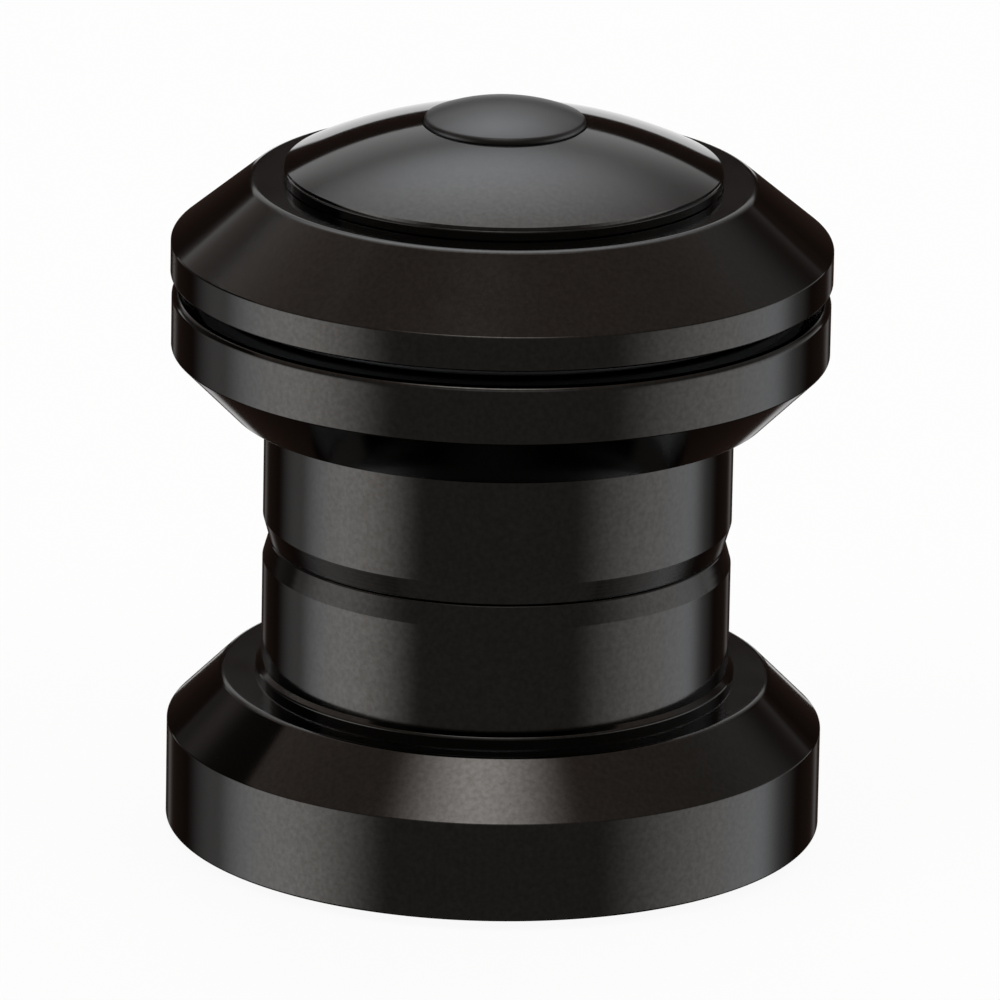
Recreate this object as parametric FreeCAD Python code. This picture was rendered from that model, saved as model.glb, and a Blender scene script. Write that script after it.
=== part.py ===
import FreeCAD
import Part

import math
import os

from FreeCAD import Vector

# Threadless bicycle headset for a 28.6 mm steerer, upper and lower assemblies stacked skirt to skirt.
# Millimetres. Z is the steering axis, and Z = 0 is the face of the crown race that sits on the fork.
# An outline is a list of (radius, height) corners, turned about Z.

# Standard sizes
steerer_radius = 28.6 / 2
crown_seat_radius = 30.0 / 2
skirt_radius = 34.0 / 2
bearing_radius = 41.0 / 2
bearing_bore_radius = 30.15 / 2
bearing_height = 6.5
ball_radius = 3.175 / 2
ball_count = 24
cap_bolt_radius = 6.0 / 2
cap_bolt_length = 30.0

# Edges
edge_round = 0.2
small_round = 0.1

# Outside of the two cups
cup_radius = 23.8
rim_above_fork = 0.7
lower_band_height = 7.3
lower_shoulder_radius = 19.95
lower_skirt_length = 10.2
step_radius = 17.4
step_height = 0.47
step_lead = 0.3
step_round = 0.25
upper_band_height = 4.2
upper_shoulder_radius = 19.6
upper_skirt_length = 10.1
skirt_chamfer_width = 0.47
skirt_chamfer_height = 1.65
rim_round = 0.55

# Inside of the two cups
skirt_bore_radius = 15.4
cup_floor = 1.5
bearing_play = 0.03
seat_play = 0.3
mouth_radius = 21.5
mouth_drop = 0.4

# Cartridge bearings
seat_chamfer = 1.3
wedge_angle = 36.0
wedge_height = 1.9
pitch_radius = 17.8
raceway_radius = ball_radius + 0.06
seal_thickness = 0.7
seal_inset = 0.3
seal_seat = 0.35
seal_slot_play = 0.04
lip_play = 0.1
cage_wall_inner = 17.65
cage_wall_outer = 19.0
cage_depth = 0.95
cage_top_play = 0.15
pocket_play = 0.08

# Crown race: pressed on the fork, with a cone for the lower bearing and a groove for its seal
flange_radius = 21.0
flange_height = 2.9
cone_top_wall = 0.5
cone_play = 0.02
crown_bore_lead = 0.35
crown_bore_break = 0.15
race_seal_depth = 1.0
race_seal_bottom = 1.1
race_seal_height = 1.1
race_seal_lip = 0.3
seal_play = 0.15

# Bearing cover, its seals and the compression ring
cover_radius = 23.9
cover_gap = 1.15
cover_band_height = 2.5
cover_cone_height = 4.7
cover_top_radius = 18.25
cover_top_round = 0.8
cover_bore_radius = steerer_radius + 0.2
cover_ceiling = 2.55
cover_wall = 2.4
cover_seal_inner = 20.3
cover_seal_outer = 21.9
cover_seal_seat = 1.0
cover_seal_neck = 0.35
ring_bore_radius = steerer_radius + 0.05
ring_lip_wall = 0.6
ring_lip_height = 0.35
ring_outer_radius = 17.0
ring_chamfer_width = 0.5
ring_chamfer_height = 0.6
ring_above_bearing = 0.6
ring_play = 0.03
ring_slit = 1.4
o_ring_cord = 1.1
o_ring_radius = steerer_radius + o_ring_cord / 2 + 0.03
o_ring_below_top = 1.3
groove_width = 1.3
groove_depth = 0.95

# Top cap, its bolt and plug
cap_radius = 15.7
cap_rim_height = 0.8
cap_dome_radius = 33.0
cap_edge = 0.35
cap_lip_outer = 13.9
cap_lip_inner = 12.6
cap_lip_depth = 2.35
cap_hub_radius = 7.4
cap_hub_depth = 3.15
cap_hollow_height = 0.85
cap_hollow_round = 0.5
counterbore_radius = 5.35
counterbore_floor = 1.15
bolt_hole_radius = 3.2
bolt_head_radius = 5.0
bolt_head_height = 4.0
bolt_socket_across = 5.0
bolt_socket_depth = 2.4
bolt_socket_cone = 0.9
bolt_point = 0.8
plug_radius = 5.85
plug_rise = 1.6
plug_edge = 0.1
plug_shoulder = 0.8
plug_hollow_rise = 0.2
plug_recess = 0.2
plug_recess_play = 0.12
plug_stub_radius = 5.1
plug_stub_inner = 3.6
plug_above_bolt = 0.15
plug_ridge_play = 0.02
plug_ridge_height = 0.4

# Star nut that the bolt hangs on
star_radius = 13.0
star_thickness = 0.7
star_rise = 2.3
star_hub_radius = 7.2
star_bend_round = 0.6
star_leaves = 8
star_slit_root = 0.9
star_slit_half_width = 0.55
star_slit_half_mouth = 1.7
barrel_radius = 4.75
barrel_collar_radius = 5.6
barrel_foot_collar = 0.65
barrel_length = 13.0
barrel_play = 0.02
barrel_bore_lead = 0.4
barrel_round = 0.3
bolt_tip_below_barrel = 2.1
upper_star_height = 11.2
lower_star_height = 4.9

# Heights that follow from the sizes above
lower_rim = rim_above_fork
lower_band_top = lower_rim + lower_band_height
lower_shoulder = lower_band_top + (cup_radius - lower_shoulder_radius)
lower_ceiling = lower_shoulder - cup_floor
skirt_joint = lower_shoulder + lower_skirt_length
upper_shoulder = skirt_joint + upper_skirt_length
upper_floor = upper_shoulder + cup_floor
upper_band_bottom = upper_shoulder + (cup_radius - upper_shoulder_radius)
upper_rim = upper_band_bottom + upper_band_height
cover_bottom = upper_rim + cover_gap
cover_band_top = cover_bottom + cover_band_height
cover_top = cover_band_top + cover_cone_height
cover_chamber_top = cover_top - cover_ceiling
groove_middle = cover_top - o_ring_below_top
lower_bearing_top = lower_ceiling - seat_play
lower_bearing_bottom = lower_bearing_top - bearing_height
upper_bearing_bottom = upper_floor + seat_play
upper_bearing_top = upper_bearing_bottom + bearing_height
bolt_seat = cover_top - counterbore_floor
cap_under = cover_top - cap_hub_depth
barrel_bottom = bolt_seat - cap_bolt_length + bolt_tip_below_barrel
upper_star_seat = barrel_bottom + upper_star_height
lower_star_seat = barrel_bottom + lower_star_height
wedge_slope = math.tan(math.radians(wedge_angle))
wedge_width = wedge_height * wedge_slope
ball_height = bearing_height / 2


def rounded(before, corner, after, radius):
    """Ends and middle of the arc that rounds one corner of an outline."""
    to_before = (before - corner).normalize()
    to_after = (after - corner).normalize()
    half = to_before.getAngle(to_after) / 2
    reach = radius / math.tan(half)
    inward = (to_before + to_after).normalize()
    middle = corner + inward * (radius / math.sin(half) - radius)
    return corner + to_before * reach, middle, corner + to_after * reach


def outline(corners):
    """Closed wire through (radius, height) corners.

    A third number rounds that corner. Two more numbers, (radius, height, 0, r, z), draw the side that
    ends at the corner as an arc through (r, z).
    """
    points = [Vector(c[0], 0, c[1]) for c in corners]
    starts = list(points)
    ends = list(points)
    arcs = []
    for i, c in enumerate(corners):
        if len(c) == 3:
            after = points[(i + 1) % len(points)]
            first, middle, last = rounded(points[i - 1], points[i], after, c[2])
            ends[i] = first
            starts[i] = last
            arcs.append(Part.Arc(first, middle, last).toShape())
        else:
            arcs.append(None)
    edges = []
    for i, c in enumerate(corners):
        if len(c) == 5:
            edges.append(Part.Arc(starts[i - 1], Vector(c[3], 0, c[4]), ends[i]).toShape())
        elif (ends[i] - starts[i - 1]).Length > 1e-6:
            edges.append(Part.makeLine(starts[i - 1], ends[i]))
        if arcs[i]:
            edges.append(arcs[i])
    return Part.Wire(Part.__sortEdges__(edges))


def turned(corners):
    """Solid made by turning an outline once about the steering axis."""
    return Part.Face(outline(corners)).revolve(Vector(0, 0, 0), Vector(0, 0, 1), 360)


def raised(shape, height):
    """Copy of a shape, moved up."""
    copy = shape.copy()
    copy.translate(Vector(0, 0, height))
    return copy


def around(shape, count):
    """Copies of a shape, spaced evenly about the steering axis."""
    copies = []
    for i in range(count):
        copy = shape.copy()
        copy.rotate(Vector(0, 0, 0), Vector(0, 0, 1), 360.0 * i / count)
        copies.append(copy)
    return copies


def raceway(degrees):
    """Point of the raceway's section, at an angle about the ball's centre."""
    a = math.radians(degrees)
    return pitch_radius + raceway_radius * math.cos(a), ball_height + raceway_radius * math.sin(a)


# Cartridge bearing, modelled as the upper one stands: 45 degree seat at the bottom outside,
# 36 degree wedge at the top inside, and contact across the balls between the two
outer_low_land = raceway(-80)
outer_middle = raceway(-28)
outer_high_land = raceway(25)
inner_high_land = raceway(100)
inner_middle = raceway(152)
inner_low_land = raceway(205)
top_seal_bottom = bearing_height - seal_thickness - seal_inset


def bearing_outer_race():
    """Outer race, with a slot at each end that the seals snap into."""
    low = seal_inset - seal_slot_play
    low_end = seal_inset + seal_thickness + seal_slot_play
    high = top_seal_bottom - seal_slot_play
    high_end = top_seal_bottom + seal_thickness + seal_slot_play
    return turned([
        (outer_low_land[0], 0),
        (bearing_radius - seat_chamfer, 0, edge_round),
        (bearing_radius, seat_chamfer, edge_round),
        (bearing_radius, bearing_height, edge_round),
        (outer_high_land[0], bearing_height),
        (outer_high_land[0], high_end),
        (outer_high_land[0] + seal_seat, high_end),
        (outer_high_land[0] + seal_seat, high),
        (outer_high_land[0], high),
        outer_high_land,
        (outer_low_land[0], outer_low_land[1], 0, *outer_middle),
        (outer_low_land[0], low_end),
        (outer_low_land[0] + seal_seat, low_end),
        (outer_low_land[0] + seal_seat, low),
        (outer_low_land[0], low),
    ])


def bearing_inner_race():
    """Inner race, with the wedge that the split ring or the crown race centres on."""
    return turned([
        (bearing_bore_radius, 0, edge_round),
        (inner_low_land[0], 0, edge_round),
        inner_low_land,
        (inner_high_land[0], inner_high_land[1], 0, *inner_middle),
        (inner_high_land[0], bearing_height, edge_round),
        (bearing_bore_radius + wedge_width, bearing_height),
        (bearing_bore_radius, bearing_height - wedge_height, edge_round),
    ])


def bearing_seal(inner, outer, bottom):
    """Flat rubber ring with a rounded lip on its inner edge."""
    top = bottom + seal_thickness
    lip = seal_thickness * 0.4
    return turned([
        (inner, bottom, lip),
        (outer, bottom),
        (outer, top),
        (inner, top, lip),
    ])


def bearing_balls():
    """All the balls of one bearing, as separate solids."""
    ball = Part.makeSphere(ball_radius, Vector(pitch_radius, 0, ball_height))
    return Part.makeCompound(around(ball, ball_count))


def bearing_cage():
    """Crown cage: a ring above the balls with fingers between them that the balls snap into."""
    low = ball_height - cage_depth
    high = top_seal_bottom - cage_top_play
    band = turned([
        (cage_wall_inner, low),
        (cage_wall_outer, low),
        (cage_wall_outer, high, small_round),
        (cage_wall_inner, high, small_round),
    ])
    pocket = Part.makeSphere(ball_radius + pocket_play, Vector(pitch_radius, 0, ball_height))
    return band.cut(around(pocket, ball_count))


def bearing_parts():
    """The six pieces of a cartridge bearing, by name."""
    return {
        "outer_race": bearing_outer_race(),
        "inner_race": bearing_inner_race(),
        "balls": bearing_balls(),
        "cage": bearing_cage(),
        "wedge_side_seal": bearing_seal(
            inner_high_land[0] + lip_play, outer_high_land[0] + seal_seat, top_seal_bottom),
        "seat_side_seal": bearing_seal(
            inner_low_land[0] + lip_play, outer_low_land[0] + seal_seat, seal_inset),
    }


def lower_cup():
    """Cup for the bottom of the head tube. It opens downwards over the bearing and the crown race."""
    bore = bearing_radius + bearing_play
    seat_bottom = lower_bearing_top - seat_chamfer - bearing_play
    seat_depth = lower_ceiling - seat_bottom
    mouth_top = lower_bearing_bottom - mouth_drop
    return turned([
        (mouth_radius, lower_rim, edge_round),
        (cup_radius, lower_rim, edge_round),
        (cup_radius, lower_band_top, edge_round),
        (lower_shoulder_radius, lower_shoulder, edge_round),
        (step_radius, lower_shoulder),
        (step_radius, lower_shoulder + step_height, step_round),
        (skirt_radius, lower_shoulder + step_height + step_lead),
        (skirt_radius, skirt_joint - skirt_chamfer_height, edge_round),
        (skirt_radius - skirt_chamfer_width, skirt_joint, edge_round),
        (skirt_bore_radius, skirt_joint, edge_round),
        (skirt_bore_radius, lower_ceiling, edge_round),
        (bore - seat_depth, lower_ceiling),
        (bore, seat_bottom),
        (bore, mouth_top + (mouth_radius - bore)),
        (mouth_radius, mouth_top),
    ])


def upper_cup():
    """Cup for the top of the head tube, upside down on the lower one."""
    bore = bearing_radius + bearing_play
    seat_top = upper_bearing_bottom + seat_chamfer + bearing_play
    seat_depth = seat_top - upper_floor
    return turned([
        (bore, upper_rim, edge_round),
        (bore, seat_top),
        (bore - seat_depth, upper_floor),
        (skirt_bore_radius, upper_floor, edge_round),
        (skirt_bore_radius, skirt_joint, edge_round),
        (skirt_radius - skirt_chamfer_width, skirt_joint, edge_round),
        (skirt_radius, skirt_joint + skirt_chamfer_height, edge_round),
        (skirt_radius, upper_shoulder, small_round),
        (upper_shoulder_radius, upper_shoulder, edge_round),
        (cup_radius, upper_band_bottom, edge_round),
        (cup_radius, upper_rim, rim_round),
    ])


def crown_race():
    """Crown race, its cone seated in the wedge of the lower bearing."""
    cone_start = lower_bearing_bottom + wedge_height
    cone_top_radius = crown_seat_radius + cone_top_wall
    cone_top = cone_start - (cone_top_radius - bearing_bore_radius) / wedge_slope
    cone_foot = bearing_bore_radius + (cone_start - flange_height) * wedge_slope
    groove_radius = flange_radius - race_seal_depth
    groove_top = race_seal_bottom + race_seal_height
    return turned([
        (crown_seat_radius + crown_bore_lead, 0),
        (flange_radius, 0, edge_round),
        (flange_radius, race_seal_bottom),
        (groove_radius, race_seal_bottom),
        (groove_radius, groove_top),
        (flange_radius, groove_top),
        (flange_radius, flange_height, edge_round),
        (cone_foot - cone_play, flange_height),
        (cone_top_radius - cone_play, cone_top),
        (crown_seat_radius + crown_bore_break, cone_top),
        (crown_seat_radius, cone_top - crown_bore_break),
        (crown_seat_radius, crown_bore_lead),
    ])


def crown_race_seal():
    """Rubber ring in the crown race's groove, its lip just short of the cup's wall."""
    inner = flange_radius - race_seal_depth
    outer = mouth_radius - seal_play
    lip_bottom = race_seal_bottom + edge_round
    top = race_seal_bottom + race_seal_height
    return turned([
        (inner, race_seal_bottom),
        (flange_radius, race_seal_bottom),
        (outer, lip_bottom, small_round),
        (outer, lip_bottom + race_seal_lip, small_round),
        (flange_radius, top),
        (inner, top),
    ])


def cover_inside(height):
    """Radius of the cover's inner cone at a height: the outer cone moved in by the wall."""
    run = cover_radius - cover_top_radius
    length = math.hypot(run, cover_cone_height)
    radius = cover_radius - cover_wall * cover_cone_height / length
    start = cover_band_top - cover_wall * run / length
    return radius - (height - start) * run / cover_cone_height


def bearing_cover():
    """Conical cover over the upper cup, with a groove for the seal round the steerer."""
    run = cover_radius - cover_top_radius
    chamber_top_radius = cover_inside(cover_chamber_top)
    cone_drop = (chamber_top_radius - cover_seal_inner) * cover_cone_height / run
    seat_top = cover_bottom + cover_seal_seat
    groove_radius = cover_bore_radius + groove_depth
    return turned([
        (cover_seal_outer, cover_bottom),
        (cover_radius, cover_bottom, edge_round),
        (cover_radius, cover_band_top, edge_round),
        (cover_top_radius, cover_top, cover_top_round),
        (cover_bore_radius, cover_top, edge_round),
        (cover_bore_radius, groove_middle + groove_width / 2),
        (groove_radius, groove_middle + groove_width / 2),
        (groove_radius, groove_middle - groove_width / 2),
        (cover_bore_radius, groove_middle - groove_width / 2),
        (cover_bore_radius, cover_chamber_top),
        (chamber_top_radius, cover_chamber_top),
        (cover_seal_inner, cover_chamber_top + cone_drop),
        (cover_seal_inner, seat_top),
        (cover_seal_outer, seat_top),
    ])


def cover_seal():
    """Rubber ring in the dark gap between the cover and the upper cup."""
    bottom = upper_rim + seal_play
    top = cover_bottom + cover_seal_seat
    neck = cover_seal_outer - cover_seal_neck
    return turned([
        (cover_seal_inner, bottom + cover_seal_neck),
        (cover_seal_inner + 2 * cover_seal_neck, bottom, small_round),
        (neck, bottom, edge_round),
        (neck, cover_bottom - cover_seal_neck),
        (cover_seal_outer, cover_bottom),
        (cover_seal_outer, top),
        (cover_seal_inner, top),
    ])


def cover_o_ring():
    """O-ring in the cover's bore, which seals on the steerer."""
    return Part.makeTorus(o_ring_radius, o_ring_cord / 2, Vector(0, 0, groove_middle))


def compression_ring():
    """Split ring that the cover pushes down between the steerer and the upper bearing."""
    cone_start = upper_bearing_top - wedge_height
    lip_radius = ring_bore_radius + ring_lip_wall
    lip_top = cone_start + (lip_radius + ring_play - bearing_bore_radius) / wedge_slope
    lip_bottom = lip_top - ring_lip_height
    cone_top = upper_bearing_top + ring_above_bearing
    cone_top_radius = bearing_bore_radius + (cone_top - cone_start) * wedge_slope - ring_play
    ring = turned([
        (ring_bore_radius, lip_bottom),
        (lip_radius, lip_bottom),
        (lip_radius, lip_top),
        (cone_top_radius, cone_top),
        (ring_outer_radius, cone_top),
        (ring_outer_radius, cover_chamber_top - ring_chamfer_height),
        (ring_outer_radius - ring_chamfer_width, cover_chamber_top),
        (ring_bore_radius, cover_chamber_top),
    ])
    corner = Vector(-ring_slit / 2, 0, lip_bottom)
    slit = Part.makeBox(ring_slit, ring_outer_radius, cover_chamber_top - lip_bottom, corner)
    return ring.cut(slit)


def dome_height(radius):
    """Height of the top cap's dome at a radius. The dome is part of a ball."""
    rim = cover_top + cap_rim_height
    return rim + math.sqrt(cap_dome_radius**2 - radius**2) - math.sqrt(cap_dome_radius**2 - cap_radius**2)


plug_seat = dome_height(plug_radius) - plug_recess


def top_cap():
    """Domed cap, hollow beneath, with a counterbore for the bolt's head and a lip that centres it."""
    hollow_top = cover_top + cap_hollow_height
    dome_start = cap_radius - cap_edge
    edge_middle = (cap_radius - 0.3 * cap_edge, dome_height(cap_radius) - 0.2 * cap_edge)
    recess_radius = plug_radius + plug_recess_play
    middle = (dome_start + recess_radius) / 2
    return turned([
        (bolt_hole_radius, cap_under, edge_round),
        (cap_hub_radius, cap_under, edge_round),
        (cap_hub_radius, hollow_top, cap_hollow_round),
        (cap_lip_inner, hollow_top, cap_hollow_round),
        (cap_lip_inner, cover_top - cap_lip_depth),
        (cap_lip_outer, cover_top - cap_lip_depth, edge_round),
        (cap_lip_outer, cover_top),
        (cap_radius, cover_top, small_round),
        (cap_radius, cover_top + cap_rim_height - cap_edge),
        (dome_start, dome_height(dome_start), 0, *edge_middle),
        (recess_radius, dome_height(recess_radius), 0, middle, dome_height(middle)),
        (recess_radius, plug_seat),
        (counterbore_radius, plug_seat),
        (counterbore_radius, bolt_seat),
        (bolt_hole_radius, bolt_seat),
    ])


def cap_plug():
    """Plug that snaps into the counterbore over the bolt's head, hollow beneath.

    Its top is a shallow crown that runs into a tighter shoulder. The two arcs share a tangent where the
    line through both centres meets them.
    """
    edge_height = dome_height(plug_radius) + plug_edge
    top = dome_height(plug_radius) + plug_rise
    rise = top - edge_height
    reach = plug_radius - plug_shoulder
    crown = (reach**2 + rise**2 - plug_shoulder**2) / (2 * (rise - plug_shoulder))
    turn = math.atan2(crown - rise, reach)
    half_rest = (turn + math.pi / 2) / 2
    shoulder_middle, shoulder_end = [
        (reach + plug_shoulder * math.cos(a), edge_height + plug_shoulder * math.sin(a))
        for a in (turn / 2, turn)
    ]
    crown_middle = (crown * math.cos(half_rest), top - crown + crown * math.sin(half_rest))
    stub_bottom = bolt_seat + bolt_head_height + plug_above_bolt
    hollow_top = plug_seat + plug_hollow_rise
    return turned([
        (0, hollow_top + plug_hollow_rise),
        (plug_stub_inner, hollow_top, edge_round),
        (plug_stub_inner, stub_bottom),
        (plug_stub_radius - small_round, stub_bottom),
        (counterbore_radius - plug_ridge_play, stub_bottom + plug_ridge_height, small_round),
        (plug_stub_radius, stub_bottom + 2 * plug_ridge_height),
        (plug_stub_radius, plug_seat),
        (plug_radius, plug_seat),
        (plug_radius, edge_height),
        (*shoulder_end, 0, *shoulder_middle),
        (0, top, 0, *crown_middle),
    ])


def cap_bolt():
    """Socket-head bolt that draws the cap towards the star nut."""
    head_top = bolt_seat + bolt_head_height
    tip = bolt_seat - cap_bolt_length
    bolt = turned([
        (0, head_top),
        (bolt_head_radius, head_top, 2 * edge_round),
        (bolt_head_radius, bolt_seat, small_round),
        (cap_bolt_radius, bolt_seat, small_round),
        (cap_bolt_radius, tip + bolt_point),
        (cap_bolt_radius - bolt_point, tip),
        (0, tip),
    ])
    corner_radius = bolt_socket_across / 2 / math.cos(math.radians(30))
    corners = []
    for i in range(7):
        a = math.radians(60 * i)
        corners.append(Vector(corner_radius * math.cos(a), corner_radius * math.sin(a), head_top))
    socket = Part.Face(Part.makePolygon(corners)).extrude(Vector(0, 0, -bolt_socket_depth))
    point = Vector(0, 0, head_top - bolt_socket_depth - bolt_socket_cone)
    drill = Part.makeCone(0, bolt_socket_across / 2, bolt_socket_cone, point)
    return bolt.cut([socket, drill])


def star_nut_barrel():
    """Threaded barrel of the star nut, with a seat for each star."""
    bore = cap_bolt_radius + barrel_play
    mouth = bore + barrel_bore_lead
    foot_collar = barrel_radius + barrel_foot_collar
    top = barrel_bottom + barrel_length
    return turned([
        (mouth, barrel_bottom),
        (barrel_radius, barrel_bottom, barrel_round),
        (barrel_radius, lower_star_seat - star_thickness),
        (foot_collar, lower_star_seat - star_thickness, small_round),
        (foot_collar, lower_star_seat),
        (barrel_radius, lower_star_seat),
        (barrel_radius, lower_star_seat + star_thickness),
        (barrel_collar_radius, lower_star_seat + star_thickness),
        (barrel_collar_radius, upper_star_seat),
        (barrel_radius, upper_star_seat),
        (barrel_radius, upper_star_seat + star_thickness),
        (barrel_collar_radius, upper_star_seat + star_thickness),
        (barrel_collar_radius, top, barrel_round),
        (mouth, top),
        (bore, top - barrel_bore_lead),
        (bore, barrel_bottom + barrel_bore_lead),
    ])


def star(seat):
    """Spring steel star: a dished washer slit into leaves that bite in the steerer when pulled up."""
    bore = barrel_radius + barrel_play
    tip_height = seat + star_rise
    dish = turned([
        (bore, seat),
        (star_hub_radius, seat, star_bend_round),
        (star_radius - 0.15, tip_height - 0.25),
        (star_radius, tip_height),
        (star_radius - 0.45, tip_height + star_thickness - 0.1),
        (star_hub_radius - 0.1, seat + star_thickness, star_bend_round),
        (bore, seat + star_thickness),
    ])
    root = star_hub_radius + star_slit_root
    past_tips = star_radius + 1
    below = seat - 1
    height = star_rise + 2
    slit_corners = [
        Vector(root, -star_slit_half_width, below),
        Vector(past_tips, -star_slit_half_mouth, below),
        Vector(past_tips, star_slit_half_mouth, below),
        Vector(root, star_slit_half_width, below),
        Vector(root, -star_slit_half_width, below),
    ]
    wedge = Part.Face(Part.makePolygon(slit_corners)).extrude(Vector(0, 0, height))
    drill = Part.makeCylinder(star_slit_half_width, height, Vector(root, 0, below))
    slit = wedge.fuse(drill)
    slit.rotate(Vector(0, 0, 0), Vector(0, 0, 1), 180.0 / star_leaves)
    return dish.cut(around(slit, star_leaves))


def build():
    """Every piece, under its node's name."""
    pieces = {
        "lower_cup": lower_cup(),
        "upper_cup": upper_cup(),
        "crown_race": crown_race(),
        "crown_race_seal": crown_race_seal(),
        "compression_ring": compression_ring(),
        "bearing_cover": bearing_cover(),
        "cover_seal": cover_seal(),
        "cover_o_ring": cover_o_ring(),
        "top_cap": top_cap(),
        "cap_bolt": cap_bolt(),
        "cap_plug": cap_plug(),
        "star_nut_barrel": star_nut_barrel(),
        "star_nut_upper_star": star(upper_star_seat),
        "star_nut_lower_star": star(lower_star_seat),
    }
    for name, shape in bearing_parts().items():
        pieces["upper_bearing_" + name] = raised(shape, upper_bearing_bottom)
        turned_over = shape.copy()
        turned_over.rotate(Vector(0, 0, 0), Vector(1, 0, 0), 180)
        pieces["lower_bearing_" + name] = raised(turned_over, lower_bearing_top)
    return pieces


os.makedirs("parts", exist_ok=True)
for node, shape in build().items():
    box = shape.BoundBox
    print(f"{node:32s} {len(shape.Solids):3d} solids {shape.Volume:9.1f} mm3"
          f"  z {box.ZMin:7.3f} {box.ZMax:7.3f}  valid {shape.isValid()}")
    shape.exportStep(f"parts/{node}.step")
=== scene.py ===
# %% [markdown]
# # A bicycle headset, black all over
#
# A headset is the pair of bearings that a bicycle's fork turns in. This one stands as it is sold:
# the lower cup at the bottom, the upper cup upside down on it, skirt to skirt, then the conical
# bearing cover and the domed top cap. Everything that shows is black, so the pictures live from how
# the light slides over anodised aluminium. The lesson goes from the frame and the camera over the
# light to the finishes. Then it turns the pieces in view again with clean edges, and ends with the
# bolt's thread, which the solid leaves out, and the plug.

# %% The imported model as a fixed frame
import math

import bpy
import numpy as np
from mathutils import Matrix, Vector


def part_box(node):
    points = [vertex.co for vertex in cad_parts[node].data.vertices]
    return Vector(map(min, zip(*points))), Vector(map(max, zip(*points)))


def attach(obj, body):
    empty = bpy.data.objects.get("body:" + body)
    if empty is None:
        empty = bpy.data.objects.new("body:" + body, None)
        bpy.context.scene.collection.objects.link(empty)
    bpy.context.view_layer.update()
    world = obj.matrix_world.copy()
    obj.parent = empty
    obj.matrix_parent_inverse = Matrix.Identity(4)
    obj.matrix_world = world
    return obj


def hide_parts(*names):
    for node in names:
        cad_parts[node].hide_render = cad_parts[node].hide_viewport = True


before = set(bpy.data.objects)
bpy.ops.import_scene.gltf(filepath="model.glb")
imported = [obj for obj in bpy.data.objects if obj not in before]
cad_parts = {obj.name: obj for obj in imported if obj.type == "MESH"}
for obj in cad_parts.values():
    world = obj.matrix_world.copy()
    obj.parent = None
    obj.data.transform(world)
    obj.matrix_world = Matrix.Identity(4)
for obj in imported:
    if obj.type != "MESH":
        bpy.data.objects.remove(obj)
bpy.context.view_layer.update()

MM = 0.001

# %% [markdown]
# ## The camera
#
# The photograph looks down on the headset from 17.5 degrees above its middle, from a long way off, so
# the ellipses at the top and the bottom are nearly the same shape. The picture also leans by a degree.
# A camera's matrix says this most clearly: its columns are the camera's right, up and backward
# directions, so the lean is a turn of the first two.

# %% The camera
CAMERA_ELEVATION = math.radians(17.5)
CAMERA_LEAN = math.radians(1.10)
CAMERA_DISTANCE = 950 * MM
CAMERA_TARGET = Vector((0.17 * MM, 0, 24.75 * MM))
LENS = 471.9
SENSOR = 36.0
NEAREST, FARTHEST = 10 * MM, 20

back = Vector((0, -math.cos(CAMERA_ELEVATION), math.sin(CAMERA_ELEVATION)))
level_up = Vector((0, math.sin(CAMERA_ELEVATION), math.cos(CAMERA_ELEVATION)))
level_right = Vector((1, 0, 0))
right = level_right * math.cos(CAMERA_LEAN) + level_up * math.sin(CAMERA_LEAN)
up = level_up * math.cos(CAMERA_LEAN) - level_right * math.sin(CAMERA_LEAN)

camera = bpy.data.objects.new("camera", bpy.data.cameras.new("camera"))
camera.data.lens = LENS
camera.data.sensor_width = SENSOR
camera.data.clip_start = NEAREST
camera.data.clip_end = FARTHEST
turned_to_view = Matrix((right, up, back)).transposed().to_4x4()
camera.matrix_world = Matrix.Translation(CAMERA_TARGET + back * CAMERA_DISTANCE) @ turned_to_view
bpy.context.scene.collection.objects.link(camera)
bpy.context.scene.camera = camera
bpy.context.scene.view_settings.view_transform = "Standard"
print(f"camera {CAMERA_DISTANCE:.2f} m away, lens {LENS} mm")

# %% [markdown]
# ## Two small helpers for nodes and colours
#
# Every finish below is a handful of shader nodes. One function adds any node, sets its properties
# and fills its inputs. An input that is given another node's output becomes a link. Colours are
# written as the hex numbers that a paint program shows, and one function turns them to the linear
# values that the renderer works in.

# %% One function for nodes, one for colours


def linear(hex_colour):
    """Linear RGBA of an sRGB hex colour: channel c becomes c / 12.92, or ((c + 0.055) / 1.055) ^ 2.4."""
    channels = [int(hex_colour[i:i + 2], 16) / 255 for i in (1, 3, 5)]
    return tuple(c / 12.92 if c <= 0.04045 else ((c + 0.055) / 1.055) ** 2.4 for c in channels) + (1.0,)


def add(tree, kind, inputs=None, **settings):
    """New node of a kind, with its properties set, and its inputs set or linked."""
    node = tree.nodes.new(kind)
    for name, value in settings.items():
        setattr(node, name, value)
    for name, value in (inputs or {}).items():
        if isinstance(value, bpy.types.NodeSocket):
            tree.links.new(value, node.inputs[name])
        else:
            node.inputs[name].default_value = value
    return node


print("black in linear light:", [round(c, 4) for c in linear("#1a1817")[:3]])

# %% [markdown]
# ## The floor and the white room
#
# The headset stands on plain white. The world is white to the eye and to reflections, and dimmer as a
# source of light, which is what a white paper sweep does in a studio. The floor mixes a matte white
# with the same plain white, so that it stays as bright as the paper and still keeps the headset's
# shadow. Black gloss shows what it faces, so the floor is left out of the reflections: what is set up
# for them further down reaches below the headset, as it does when a product stands on a glass shelf.

# %% The white room
ROOM_WHITE = "#ffffff"
FLOOR_WHITE = "#f4f3f1"
ROOM_FILL = 0.45
FLOOR_GLOW = 0.93
FLOOR_SIZE = 6.0


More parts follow.
